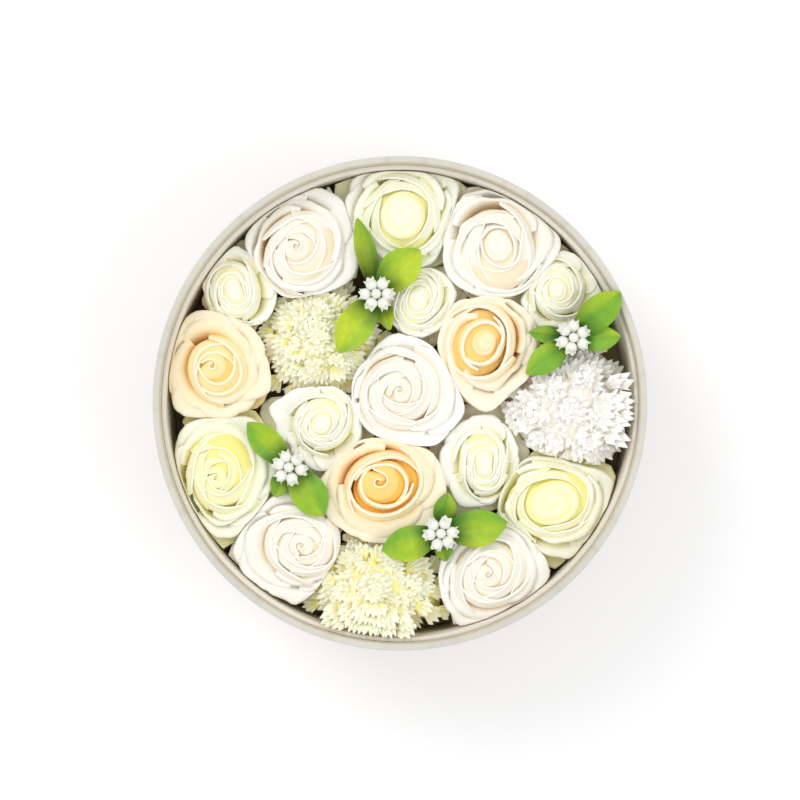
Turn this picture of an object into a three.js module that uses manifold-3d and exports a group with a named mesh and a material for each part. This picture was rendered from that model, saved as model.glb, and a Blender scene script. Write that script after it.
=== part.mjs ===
// A round flower box: a board tub with a lining, a base and a foam block, and in the foam
// sixteen roses, three carnations and four leafy sprigs with berry heads.
// Units are millimetres, +Z is up, and the origin is the centre of the box's underside.

import * as THREE from 'three';
import { mergeVertices } from 'three/addons/utils/BufferGeometryUtils.js';
import Module from 'manifold-3d';

const wasm = await Module();
wasm.setup();

// Box
const BOX_RADIUS = 110;
const BOX_HEIGHT = 90;
const WALL = 3;
const LINING = 1.5;
const LINING_BELOW_RIM = 8;
const BASE = 3;
const FIT = 0.3;
const FOAM_TOP = 45;
const BOX_SIDES = 48;
const LINING_OUTSIDE = BOX_RADIUS - WALL - FIT;
const LINING_INSIDE = LINING_OUTSIDE - LINING;

// Pegs and the holes that they stand in
const PEG_FOOT = 30;
const PEG_TIP_RADIUS = 1.6;
const PEG_RADIUS = 2.4;
const HOLE_DEPTH = 17;
const HOLE_CLEARANCE = 0.35;
const HOLE_SIDES = 5;

// Green star of sepals under each bloom
const CUP_TOP = 47.7;
const CUP_THICKNESS = 1.2;
const CUP_RADIUS = 4.2;
const SEPAL_REACH = 12;
const SEPAL_RISE = 3.2;
const SEPALS = 5;

// Blooms: petal sheets, and how far each petal's side steps out over the next petal's
const BLOOM_FOOT = 48;
const PETAL = 0.8;
const PETAL_STEP = 0.55;
const PETAL_SLIT = 3;
const SMOOTHING = 0.1;
const MIDDLE_PETALS = 3;
const MIDDLE_TURN = 55;
const HEART_SIDES = 5;
const CORE_FOOT = 3.8;
const CORE_FLARE = 5;
const STRIP_COLUMNS = 11;
const STRIP_SUNK = 2;

// Carnation skins
const FRILL_SIDES = 6;
const FRILL_FOOT = 3;
const FRILL_ROOT = 4.5;
const FRILL_TIP = 1;

// Room that a bloom has: within the lining, and short of its neighbours and the sprigs' stems
const WALL_LIMIT = LINING_INSIDE - 0.7;
const CLEARANCE = 0.75;
const FREE_SHARE = 0.93;
const TILT_FROM = 66;
const TILT_PIVOT = 74;
const TILT = 0.3;
const STEM_ROOM = 3.4;
const NEIGHBOUR_RANGE = 80;

// Sprigs
const STEM_RADIUS = 1.3;
const STEM_TOP = 81.5;
const LEAF = 0.9;
const BUD_RADIUS = 2.6;
const BUD_LENGTH = 7;
const BUD_LEAN = 1.02;
const BERRY_FOOT = 83.2;
const BUDS_IN_RING = 6;

const DEGREE = Math.PI / 180;

const looks = {
  board: new THREE.MeshStandardMaterial({ color: 0xdcdccf, roughness: 0.75, metalness: 0 }),
  lining: new THREE.MeshStandardMaterial({ color: 0xc8beb4, roughness: 0.8, metalness: 0 }),
  foam: new THREE.MeshStandardMaterial({ color: 0x4a4238, roughness: 0.95, metalness: 0 }),
  white: new THREE.MeshStandardMaterial({ color: 0xfaf3ec, roughness: 0.55, metalness: 0 }),
  green: new THREE.MeshStandardMaterial({ color: 0xf4f3c8, roughness: 0.55, metalness: 0 }),
  peach: new THREE.MeshStandardMaterial({ color: 0xfbe3bd, roughness: 0.55, metalness: 0 }),
  pale: new THREE.MeshStandardMaterial({ color: 0xfafaea, roughness: 0.55, metalness: 0 }),
  cream: new THREE.MeshStandardMaterial({ color: 0xfbf9dd, roughness: 0.6, metalness: 0 }),
  snow: new THREE.MeshStandardMaterial({ color: 0xfcfaf8, roughness: 0.6, metalness: 0 }),
  leaf: new THREE.MeshStandardMaterial({ color: 0x7fae2e, roughness: 0.45, metalness: 0 }),
  berry: new THREE.MeshStandardMaterial({ color: 0xf2f5f0, roughness: 0.4, metalness: 0 }),
};

// Roses. Each has its bud's place, its turn, its rank over its neighbours where they meet, and
// its outer petals as [direction in degrees, reach].
const roses = [
  { name: 'rose_white_1', kind: 'full', look: 'white', x: -46.7, y: 70.6, turn: 25, over: 2,
    outline: [[62, 28.5], [122, 22.5], [176, 21.5], [250, 25], [335, 27]] },
  { name: 'rose_white_2', kind: 'full', look: 'white', x: 44, y: 73, turn: 200, over: 2,
    outline: [[5, 30], [40, 23.5], [95, 22.8], [150, 24.5], [232, 28], [285, 26.5]] },
  { name: 'rose_white_3', kind: 'full', look: 'white', x: -0.4, y: 5.9, turn: 103, over: 3,
    outline: [[50, 25], [105, 24], [182, 20.5], [240, 25], [298, 29], [338, 31]] },
  { name: 'rose_white_4', kind: 'full', look: 'white', x: -44.4, y: -63.9, turn: 150, over: 2,
    outline: [[20, 16.5], [125, 24], [180, 31], [215, 28], [250, 25.5], [310, 20.5]] },
  { name: 'rose_white_5', kind: 'full', look: 'white', x: 39.6, y: -76.3, turn: 348, over: 2,
    outline: [[50, 26], [130, 19.5], [195, 22.5], [245, 26], [285, 23.5], [355, 27]] },
  { name: 'rose_green_1', kind: 'open', look: 'green', x: 1.3, y: 85.9, turn: 300, over: 1,
    outline: [[22, 29], [70, 21.5], [135, 27.5], [175, 25], [230, 25.5], [290, 26], [345, 22.5]] },
  { name: 'rose_green_2', kind: 'open', look: 'green', x: -82.7, y: -33.2, turn: 80, over: 2,
    outline: [[5, 26], [68, 30.5], [120, 25.5], [175, 17.5], [235, 18.5], [278, 27.5], [320, 25]] },
  { name: 'rose_green_3', kind: 'open', look: 'green', x: 67.1, y: -45.2, turn: 170, over: 1,
    outline: [[15, 30], [60, 21], [110, 23], [178, 23], [235, 21.5], [288, 25], [335, 25]] },
  { name: 'rose_peach_1', kind: 'full', look: 'peach', x: -84.4, y: 17, turn: 60, over: 3,
    outline: [[40, 24], [100, 24.5], [190, 21.5], [240, 24.8], [290, 23], [345, 26]] },
  { name: 'rose_peach_2', kind: 'full', look: 'peach', x: 39.6, y: 27.2, turn: 280, over: 3,
    outline: [[5, 21.5], [50, 22.5], [110, 21], [205, 24], [262, 30], [320, 22]] },
  { name: 'rose_peach_3', kind: 'full', look: 'peach', x: -9.3, y: -35, turn: 10, over: 3,
    outline: [[45, 24], [105, 20.5], [180, 26.5], [228, 27], [272, 28.5], [322, 31], [358, 31]] },
  { name: 'rose_small_1', kind: 'small', look: 'pale', x: -74.2, y: 50.4, turn: 120, over: 0,
    outline: [[30, 20], [80, 19], [160, 14.5], [225, 13.5], [285, 16], [335, 20]] },
  { name: 'rose_small_2', kind: 'small', look: 'pale', x: 8.4, y: 47.4, turn: 40, over: 1,
    outline: [[15, 17], [60, 15.5], [135, 12], [205, 14.5], [262, 17.5], [320, 16.5]] },
  { name: 'rose_small_3', kind: 'small', look: 'pale', x: 70.8, y: 50.4, turn: 260, over: 1,
    outline: [[32, 20.5], [82, 18.3], [140, 14.5], [190, 16], [245, 16.8], [300, 16], [350, 20]] },
  { name: 'rose_small_4', kind: 'small', look: 'pale', x: -35.1, y: -9.7, turn: 330, over: 1,
    outline: [[25, 17], [85, 19.5], [130, 18.5], [168, 27], [205, 18], [245, 19.5], [285, 22.5],
      [330, 20]] },
  { name: 'rose_small_5', kind: 'small', look: 'pale', x: 38.2, y: -27.9, turn: 90, over: 0,
    outline: [[42, 18], [90, 23], [128, 21], [172, 21], [250, 19.5], [300, 15.5], [355, 15]] },
];

// What each kind of rose is built on. The heart is a core with a shoulder, and on that a strip
// wound round its tip. The middle petals are three inside the outer ones. Root, belly, rim and lip
// shape a petal's side view as [radius, height]; most is the share of the bloom's reach it may take.
const kinds = {
  full: {
    heart: { radius: 10.5, shoulder: 12, foot: [2.6, 5.6], top: [2.8, 9.6], turns: 1.9, tip: 35 },
    outerRoot: [6.6, 7.5],
    middle: {
      root: [6.7, 9], belly: [17, 12], rim: [13.4, 39], lip: [16.4, 33],
      cut: 0.26, flat: 0.1, most: 0.74,
    },
  },
  open: {
    heart: { radius: 10.5, shoulder: 12, foot: [2.6, 5.6], top: [2.8, 10.4], turns: 1.9, tip: 35.5 },
    outerRoot: [6.6, 7.5],
    middle: {
      root: [6.7, 9], belly: [18, 13], rim: [14, 38], lip: [17, 33],
      cut: 0.26, flat: 0.15, most: 0.74,
    },
  },
  small: {
    heart: { radius: 7.6, shoulder: 11, foot: [1.9, 3.9], top: [2, 6.8], turns: 1.7, tip: 32.5 },
    outerRoot: [4.6, 7.5],
    middle: {
      root: [4.8, 8.5], belly: [12, 12], rim: [9.8, 35], lip: [11.8, 30.5],
      cut: 0.22, flat: 0.05, most: 0.72,
    },
  },
};

// Carnations: place, height and outline as [direction, reach].
const carnations = [
  { name: 'carnation_cream_1', look: 'cream', x: -36.4, y: 30.4, height: 31, over: -1,
    outline: [[40, 24], [70, 26], [110, 21], [148, 24], [187, 24.5], [233, 30], [262, 23], [290, 26],
      [320, 27], [355, 29]] },
  { name: 'carnation_cream_2', look: 'cream', x: -11.1, y: -83, height: 33, over: -1,
    outline: [[9, 28], [45, 27], [85, 20], [117, 25.5], [150, 26], [185, 34], [217, 29], [250, 24],
      [270, 23], [300, 26], [334, 35]] },
  { name: 'carnation_white', look: 'snow', x: 76.4, y: -3, height: 34, over: 2,
    outline: [[11, 31], [34, 33], [56, 33], [95, 24], [120, 23], [149, 25], [175, 31.5], [214, 28.5],
      [240, 26], [267, 24], [312, 32], [331, 30.5], [354, 30]] },
];
// Each layer of a carnation's petals: how many, the share of the outline that they reach, and the
// heights of root and edge as shares of the bloom's.
const frillLayers = [
  { count: 12, share: 1, root: 0.28, rise: 0.68 },
  { count: 10, share: 0.84, root: 0.37, rise: 0.81 },
  { count: 9, share: 0.66, root: 0.46, rise: 0.91 },
  { count: 7, share: 0.47, root: 0.55, rise: 0.99 },
  { count: 4, share: 0.25, root: 0.66, rise: 1.05 },
];
// Edge of one of those petals, as [share of the way across, share of its reach, fold up or down].
const frillEdge = [[0, 0.66, 0], [0.12, 1.04, 0.9], [0.5, 0.92, -1.1], [0.88, 1.07, 0.9]];

// Sprigs: stem, and leaves as tip and half width and how high root, crown and tip lie.
const sprigs = [
  { x: -10.4, y: 48.9, leaves: [
    { to: [9, 68.9], wide: 7.2, heights: [78, 86, 83] },
    { to: [-27.6, 22.7], wide: 6.8, heights: [78, 86, 83] },
    { to: [-19.2, 82.7], wide: 4, heights: [70, 82, 86] },
    { to: [-4.6, 33], wide: 3.2, heights: [70, 79, 77] },
  ] },
  { x: 77.3, y: 29.5, leaves: [
    { to: [97.8, 49.4], wide: 6.2, heights: [77, 92, 93] },
    { to: [98.5, 29.6], wide: 4.8, heights: [78, 85, 87] },
    { to: [57.8, 31.8], wide: 3.4, heights: [78, 83, 82] },
    { to: [56.6, 13], wide: 5.2, heights: [78, 84, 81.5] },
  ] },
  { x: -49.3, y: -28.8, leaves: [
    { to: [-68.4, -8.6], wide: 5.6, heights: [78, 84, 82.5] },
    { to: [-34, -50.5], wide: 6.8, heights: [78, 85, 82.5] },
    { to: [-56.5, -42], wide: 4, heights: [72, 80, 79] },
  ] },
  { x: 18.2, y: -58.1, leaves: [
    { to: [48, -53.6], wide: 7, heights: [78, 85, 83] },
    { to: [-8, -66], wide: 6.6, heights: [78, 86, 83] },
    { to: [21.6, -40.2], wide: 4.4, heights: [74, 81, 80] },
    { to: [20.6, -71], wide: 3.6, heights: [72, 80, 79.5] },
  ] },
];

// A solid from a three.js geometry that is closed.
function solidOf(geometry) {
  geometry.deleteAttribute('normal');
  geometry.deleteAttribute('uv');
  const merged = mergeVertices(geometry, 1e-4);
  return new wasm.Manifold(new wasm.Mesh({
    numProp: 3,
    vertProperties: new Float32Array(merged.attributes.position.array),
    triVerts: new Uint32Array(merged.index.array),
  }));
}

// A solid from points and faces, turned to face out.
function solidFrom(points, faces) {
  const build = (order) => new wasm.Manifold(new wasm.Mesh({
    numProp: 3,
    vertProperties: new Float32Array(points.flatMap((p) => [p.x, p.y, p.z])),
    triVerts: new Uint32Array(order.flat()),
  }));
  const solid = build(faces);
  return solid.volume() > 0 ? solid : build(faces.map(([a, b, c]) => [a, c, b]));
}

// One body from several: sealed hollows are filled and loose scraps dropped.
function fuse(parts) {
  const joined = parts.reduce((a, b) => a.add(b));
  return joined.simplify(SMOOTHING).decompose().reduce((a, b) => (a.volume() > b.volume() ? a : b));
}

function meshOf(name, solid, look) {
  const { vertProperties, triVerts } = solid.getMesh();
  const geometry = new THREE.BufferGeometry();
  geometry.setAttribute('position', new THREE.BufferAttribute(new Float32Array(vertProperties), 3));
  geometry.setIndex(new THREE.BufferAttribute(new Uint32Array(triVerts), 1));
  geometry.computeVertexNormals();
  const mesh = new THREE.Mesh(geometry, looks[look]);
  mesh.name = name;
  return mesh;
}

// A turned solid about the Z axis from a profile of [radius, height].
function turned(profile, sides) {
  const geometry = new THREE.LatheGeometry(profile.map(([r, z]) => new THREE.Vector2(r, z)), sides);
  geometry.rotateX(Math.PI / 2);
  return geometry;
}

// A thin curved sheet with thickness. Both faces are split the same way.
function slab(pointAt, columns, rows, thickness) {
  const step = 0.01;
  const outside = [];
  const inside = [];
  for (const v of rows) {
    for (let i = 0; i <= columns; i += 1) {
      const u = -1 + 2 * i / columns;
      const along = pointAt(u + step, v).sub(pointAt(u - step, v));
      const up = pointAt(u, v).sub(pointAt(u, v - step));
      const half = along.cross(up).setLength(thickness / 2);
      outside.push(pointAt(u, v).add(half));
      inside.push(pointAt(u, v).sub(half));
    }
  }
  const across = columns + 1;
  const total = outside.length;
  const faces = [];
  const border = [];
  for (let j = 0; j < rows.length - 1; j += 1) {
    for (let i = 0; i < columns; i += 1) {
      const a = j * across + i;
      const b = a + 1;
      const c = b + across;
      const d = a + across;
      faces.push([a, b, c], [a, c, d]);
      faces.push([total + a, total + c, total + b], [total + a, total + d, total + c]);
    }
  }
  const last = (rows.length - 1) * across;
  for (let i = 0; i < columns; i += 1) border.push([i, i + 1]);
  for (let j = 0; j < rows.length - 1; j += 1) {
    border.push([j * across + columns, (j + 1) * across + columns]);
  }
  for (let i = columns; i > 0; i -= 1) border.push([last + i, last + i - 1]);
  for (let j = rows.length - 1; j > 0; j -= 1) border.push([j * across, (j - 1) * across]);
  for (const [a, b] of border) faces.push([b, a, total + a], [b, total + a, total + b]);
  return solidFrom([...outside, ...inside], faces);
}

function bezier(a, b, c, d, t) {
  const s = 1 - t;
  return s * s * s * a + 3 * s * s * t * b + 3 * s * t * t * c + t * t * t * d;
}

// Reach of a bloom's outline in a direction, between the listed ones.
function outlineReach(outline, degrees) {
  const sorted = [...outline].sort((a, b) => a[0] - b[0]);
  const wrapped = ((degrees % 360) + 360) % 360;
  const after = sorted.find((entry) => entry[0] >= wrapped) ?? [sorted[0][0] + 360, sorted[0][1]];
  const before = [...sorted].reverse().find((entry) => entry[0] < wrapped)
    ?? [sorted.at(-1)[0] - 360, sorted.at(-1)[1]];
  const share = (wrapped - before[0]) / (after[0] - before[0]);
  return before[1] + (after[1] - before[1]) * share;
}

const blooms = [...roses, ...carnations];

// The planes that keep a bloom clear of its neighbours and of the sprigs' stems.
function bordersOf(bloom) {
  const borders = [];
  for (const other of blooms) {
    const dx = other.x - bloom.x;
    const dy = other.y - bloom.y;
    const apart = Math.hypot(dx, dy);
    if (other === bloom || apart > NEIGHBOUR_RANGE) continue;
    const direction = Math.atan2(dy, dx);
    const mine = outlineReach(bloom.outline, direction / DEGREE);
    const theirs = outlineReach(other.outline, direction / DEGREE + 180);
    const tilt = TILT * Math.sign(bloom.over - other.over);
    borders.push({ direction, distance: (apart + mine - theirs) / 2 - CLEARANCE, tilt });
  }
  for (const sprig of sprigs) {
    const dx = sprig.x - bloom.x;
    const dy = sprig.y - bloom.y;
    const apart = Math.hypot(dx, dy);
    if (apart < NEIGHBOUR_RANGE) {
      borders.push({ direction: Math.atan2(dy, dx), distance: apart - STEM_ROOM, tilt: 0 });
    }
  }
  return borders;
}

// How far a bloom may reach in a direction at a height.
function roomFor(bloom, angle, z) {
  const cos = Math.cos(angle);
  const sin = Math.sin(angle);
  const towards = bloom.x * cos + bloom.y * sin;
  const centre = bloom.x ** 2 + bloom.y ** 2;
  let room = Math.sqrt(towards ** 2 - centre + WALL_LIMIT ** 2) - towards;
  for (const { direction, distance, tilt } of bloom.borders) {
    const facing = Math.cos(angle - direction);
    if (facing < 0.05) continue;
    const shifted = distance + tilt * (Math.max(z, TILT_FROM) - TILT_PIVOT);
    room = Math.min(room, shifted / facing);
  }
  return room;
}

// A bloom's own point to the part's frame, pressed back softly where there is no room for it.
function placed(bloom, radius, angle, height) {
  const z = BLOOM_FOOT + height;
  const room = roomFor(bloom, angle, z);
  const free = FREE_SHARE * room;
  const spare = room - free;
  const r = radius < free ? radius : room - spare * Math.exp((free - radius) / spare);
  return new THREE.Vector3(bloom.x + r * Math.cos(angle), bloom.y + r * Math.sin(angle), z);
}

// One petal: its side view is a curve from the root over belly and rim to the lip, and it steps
// outward from one side to the other.
function petalSurface(bloom, petal) {
  const middle = (petal.from + petal.to) / 2;
  const half = (petal.to - petal.from) / 2;
  const { root, belly, rim, lip } = petal;
  return (u, v) => {
    const t = v * (1 - petal.cut * Math.abs(u) ** 3);
    const degrees = middle + half * u;
    const reach = outlineReach(bloom.outline, degrees);
    const scale = petal.outer ? reach : Math.min(1, petal.most * reach / lip[0]);
    const profile = (share) => [
      bezier(root[0], belly[0] * scale, rim[0] * scale, lip[0] * scale, share),
      bezier(root[1], belly[1], rim[1], lip[1], share),
    ];
    const [r, z] = profile(t + 0.01);
    const [r0, z0] = profile(t - 0.01);
    const length = Math.hypot(r - r0, z - z0);
    const step = PETAL_STEP * u * Math.min(t / 0.3, 1);
    const straight = 1 / Math.cos(half * u * DEGREE) - 1;
    const radius = ((r + r0) / 2 + step * (z - z0) / length) * (1 + petal.flat * straight * t);
    return placed(bloom, radius, degrees * DEGREE, (z + z0) / 2 - step * (r - r0) / length);
  };
}

function rosePetals(rose) {
  const petals = [];
  const { middle, heart, outerRoot } = kinds[rose.kind];
  const share = 360 / MIDDLE_PETALS;
  for (let k = 0; k < MIDDLE_PETALS; k += 1) {
    const from = rose.turn + MIDDLE_TURN + k * share;
    petals.push({ ...middle, from, to: from + share - PETAL_SLIT, columns: 3, rows: [0, 0.55, 1] });
  }
  const { outline } = rose;
  outline.forEach(([at], k) => {
    const before = outline[k - 1]?.[0] ?? outline.at(-1)[0] - 360;
    const after = outline[k + 1]?.[0] ?? outline[0][0] + 360;
    petals.push({
      from: (before + at + PETAL_SLIT) / 2,
      to: (at + after - PETAL_SLIT) / 2,
      outer: true,
      root: outerRoot,
      belly: [0.9, 8],
      rim: [0.84, heart.tip - 1],
      lip: [1.1, heart.tip - 9],
      cut: 0.13,
      flat: 0,
      columns: 2,
      rows: [0, 0.42, 1],
    });
  });
  return petals;
}

// The rolled centre: a core with a shoulder, and on that a strip wound round the core's tip.
function roseBud(rose) {
  const { radius, shoulder, foot, top, turns, tip } = kinds[rose.kind].heart;
  const rod = foot[0] - 0.8;
  const profile = [
    [0, 0],
    [CORE_FOOT, 0],
    [radius, CORE_FLARE],
    [radius, shoulder],
    [rod, shoulder],
    [rod, tip - 2],
    [0, tip],
  ];
  const core = turned(profile, HEART_SIDES);
  core.rotateZ(rose.turn * DEGREE);
  core.translate(rose.x, rose.y, BLOOM_FOOT);
  const strip = (u, v) => {
    const share = (u + 1) / 2;
    const angle = rose.turn * DEGREE + share * turns * 2 * Math.PI;
    const low = foot[0] + (foot[1] - foot[0]) * share;
    const high = top[0] + (top[1] - top[0]) * share;
    const sunk = shoulder - STRIP_SUNK;
    return placed(rose, low + (high - low) * v, angle, sunk + (tip - sunk) * v);
  };
  return [solidOf(core), slab(strip, STRIP_COLUMNS, [0, 1], PETAL)];
}

function roseSolid(rose) {
  const petals = rosePetals(rose).map((petal) => (
    slab(petalSurface(rose, petal), petal.columns, petal.rows, PETAL)
  ));
  return fuse([...roseBud(rose), ...petals]);
}

// Edge of a layer of a carnation, top and underside, slit between its petals.
function frillEdges(bloom, layer, index) {
  const upper = [];
  const under = [];
  for (let k = 0; k < layer.count; k += 1) {
    for (const [across, long, fold] of frillEdge) {
      const angle = (k + across + 0.5 * (index % 2)) * 2 * Math.PI / layer.count;
      const reach = layer.share * outlineReach(bloom.outline, angle / DEGREE) * long;
      const rise = bloom.height * (layer.rise - layer.root) * long;
      const point = placed(bloom, reach, angle, bloom.height * layer.root + rise + fold);
      const out = Math.hypot(point.x - bloom.x, point.y - bloom.y);
      const thickness = PETAL * Math.hypot(out, rise) / out;
      upper.push({ angle, point });
      under.push({ angle, point: point.clone().sub(new THREE.Vector3(0, 0, thickness)) });
    }
  }
  return [under, upper];
}

function frillRoot(bloom, radius, height) {
  return Array.from({ length: FRILL_SIDES }, (_, k) => {
    const angle = k * 2 * Math.PI / FRILL_SIDES;
    const x = bloom.x + radius * Math.cos(angle);
    const y = bloom.y + radius * Math.sin(angle);
    return { angle, point: new THREE.Vector3(x, y, BLOOM_FOOT + height) };
  });
}

// A carnation is one skin: up from the foot, and out and back round each ruffled layer.
function carnationSolid(bloom) {
  const loops = [frillRoot(bloom, FRILL_FOOT, 0)];
  frillLayers.forEach((layer, index) => {
    const root = frillRoot(bloom, FRILL_ROOT * (1 - 0.12 * index), bloom.height * layer.root);
    loops.push(root, ...frillEdges(bloom, layer, index));
  });
  loops.push(frillRoot(bloom, FRILL_TIP, bloom.height * 0.8));
  const points = [];
  const faces = [];
  const starts = loops.map((loop) => {
    const start = points.length;
    points.push(...loop.map(({ point }) => point));
    return start;
  });
  for (let level = 1; level < loops.length; level += 1) {
    const lower = loops[level - 1];
    const upper = loops[level];
    let i = 0;
    let j = 0;
    while (i < lower.length || j < upper.length) {
      const a = starts[level - 1] + i % lower.length;
      const b = starts[level] + j % upper.length;
      const nextLower = i < lower.length ? (lower[i + 1]?.angle ?? lower[0].angle + 2 * Math.PI) : Infinity;
      const nextUpper = j < upper.length ? (upper[j + 1]?.angle ?? upper[0].angle + 2 * Math.PI) : Infinity;
      if (nextLower <= nextUpper) {
        i += 1;
        faces.push([a, starts[level - 1] + i % lower.length, b]);
      } else {
        j += 1;
        faces.push([a, starts[level] + j % upper.length, b]);
      }
    }
  }
  const last = starts.at(-1);
  for (let k = 1; k < FRILL_SIDES - 1; k += 1) {
    faces.push([0, k + 1, k], [last, last + k, last + k + 1]);
  }
  return solidFrom(points, faces);
}

// Star of sepals on a peg.
function calyxSolid(bloom) {
  const cup = new THREE.Shape();
  for (let i = 0; i < 2 * SEPALS; i += 1) {
    const reach = i % 2 === 0 ? SEPAL_REACH : CUP_RADIUS;
    const angle = i * Math.PI / SEPALS + bloom.x;
    if (i === 0) cup.moveTo(reach * Math.cos(angle), reach * Math.sin(angle));
    else cup.lineTo(reach * Math.cos(angle), reach * Math.sin(angle));
  }
  const star = new THREE.ExtrudeGeometry(cup, { depth: CUP_THICKNESS, bevelEnabled: false, steps: 1 });
  star.translate(0, 0, CUP_TOP - CUP_THICKNESS);
  const position = star.attributes.position;
  for (let i = 0; i < position.count; i += 1) {
    const out = Math.hypot(position.getX(i), position.getY(i)) - CUP_RADIUS;
    position.setZ(i, position.getZ(i) + SEPAL_RISE * Math.max(out, 0) / (SEPAL_REACH - CUP_RADIUS));
  }
  star.translate(bloom.x, bloom.y, 0);
  const peg = new THREE.CylinderGeometry(PEG_RADIUS, PEG_TIP_RADIUS, CUP_TOP - 0.4 - PEG_FOOT, 5);
  peg.rotateX(Math.PI / 2);
  peg.translate(bloom.x, bloom.y, (CUP_TOP - 0.4 + PEG_FOOT) / 2);
  return fuse([solidOf(star), solidOf(peg)]);
}

// A leaf rises from the stem over its crown to its tip, folded a little along its midrib.
function leafSolid(sprig, leaf) {
  const run = new THREE.Vector2(leaf.to[0] - sprig.x, leaf.to[1] - sprig.y);
  const side = new THREE.Vector2(-run.y, run.x).normalize();
  const surface = (u, v) => {
    const share = Math.min(Math.max(v, 0), 0.97) ** 1.15;
    const broad = leaf.wide * (0.08 + 0.92 * Math.sin(Math.PI * share) ** 0.75);
    const [foot, crown, tip] = leaf.heights;
    const height = (1 - v) ** 2 * foot + 2 * v * (1 - v) * crown + v * v * tip;
    const x = sprig.x + run.x * v + side.x * broad * u;
    const y = sprig.y + run.y * v + side.y * broad * u;
    return new THREE.Vector3(x, y, height + 0.12 * broad * Math.abs(u));
  };
  return slab(surface, 4, [0, 0.3, 0.55, 0.8, 1], LEAF);
}

function stemOf(sprig, radius, foot, top) {
  const stem = new THREE.CylinderGeometry(radius, radius, top - foot, 6);
  stem.rotateX(Math.PI / 2);
  stem.translate(sprig.x, sprig.y, (top + foot) / 2);
  return solidOf(stem);
}

function leavesSolid(sprig) {
  const stem = stemOf(sprig, STEM_RADIUS, PEG_FOOT, STEM_TOP);
  return fuse([stem, ...sprig.leaves.map((leaf) => leafSolid(sprig, leaf))]);
}

// A bud with a notched mouth, rooted in the head's middle and leaning outward.
function budSolid(sprig, lean, angle) {
  const profile = [
    [0, 0],
    [0.9, 0],
    [BUD_RADIUS, BUD_LENGTH - 2.4],
    [BUD_RADIUS * 0.75, BUD_LENGTH],
    [0, BUD_LENGTH - 1.3],
  ];
  const bud = turned(profile, 5);
  bud.rotateY(lean);
  bud.rotateZ(angle);
  bud.translate(sprig.x, sprig.y, BERRY_FOOT);
  return solidOf(bud);
}

function berriesSolid(sprig, turn) {
  const parts = [stemOf(sprig, STEM_RADIUS, STEM_TOP + FIT, BERRY_FOOT + 1.5), budSolid(sprig, 0, 0)];
  for (let k = 0; k < BUDS_IN_RING; k += 1) {
    parts.push(budSolid(sprig, BUD_LEAN, turn + k * 2 * Math.PI / BUDS_IN_RING));
  }
  return fuse(parts);
}

function foamSolid() {
  const radius = LINING_INSIDE - FIT;
  const block = turned([[0, BASE], [radius, BASE], [radius, FOAM_TOP], [0, FOAM_TOP]], BOX_SIDES);
  let foam = solidOf(block);
  const holes = [
    ...blooms.map(({ x, y }) => ({ x, y, radius: PEG_RADIUS + HOLE_CLEARANCE })),
    ...sprigs.map(({ x, y }) => ({ x, y, radius: STEM_RADIUS + HOLE_CLEARANCE })),
  ];
  for (const { x, y, radius: bore } of holes) {
    const hole = new THREE.CylinderGeometry(bore, bore, HOLE_DEPTH + 1, HOLE_SIDES);
    hole.rotateX(Math.PI / 2);
    hole.translate(x, y, FOAM_TOP + 1 - (HOLE_DEPTH + 1) / 2);
    foam = foam.subtract(solidOf(hole));
  }
  return foam;
}

const box = new THREE.Group();

const wallProfile = [
  [BOX_RADIUS - WALL, 0],
  [BOX_RADIUS, 0],
  [BOX_RADIUS, BOX_HEIGHT],
  [BOX_RADIUS - WALL, BOX_HEIGHT],
  [BOX_RADIUS - WALL, 0],
];
const liningProfile = [
  [LINING_INSIDE, BASE],
  [LINING_OUTSIDE, BASE],
  [LINING_OUTSIDE, BOX_HEIGHT - LINING_BELOW_RIM],
  [LINING_INSIDE, BOX_HEIGHT - LINING_BELOW_RIM],
  [LINING_INSIDE, BASE],
];
const baseProfile = [[0, 0], [LINING_OUTSIDE, 0], [LINING_OUTSIDE, BASE], [0, BASE]];
box.add(meshOf('box_wall', solidOf(turned(wallProfile, BOX_SIDES)), 'board'));
box.add(meshOf('box_lining', solidOf(turned(liningProfile, BOX_SIDES)), 'lining'));
box.add(meshOf('box_base', solidOf(turned(baseProfile, BOX_SIDES)), 'board'));
box.add(meshOf('foam_block', foamSolid(), 'foam'));

for (const bloom of blooms) bloom.borders = bordersOf(bloom);
for (const bloom of blooms) {
  const solid = bloom.kind ? roseSolid(bloom) : carnationSolid(bloom);
  box.add(meshOf(bloom.name, solid, bloom.look));
  box.add(meshOf(`${bloom.name}_calyx`, calyxSolid(bloom), 'leaf'));
}
sprigs.forEach((sprig, index) => {
  box.add(meshOf(`sprig_${index + 1}_leaves`, leavesSolid(sprig), 'leaf'));
  box.add(meshOf(`sprig_${index + 1}_berries`, berriesSolid(sprig, index * 0.4), 'berry'));
});

export default box;
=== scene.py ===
# A round board box full of artificial flowers. Metres in the scene, millimetres in the tables below,
# +Z up, the origin at the centre of the box's underside.

import math

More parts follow.
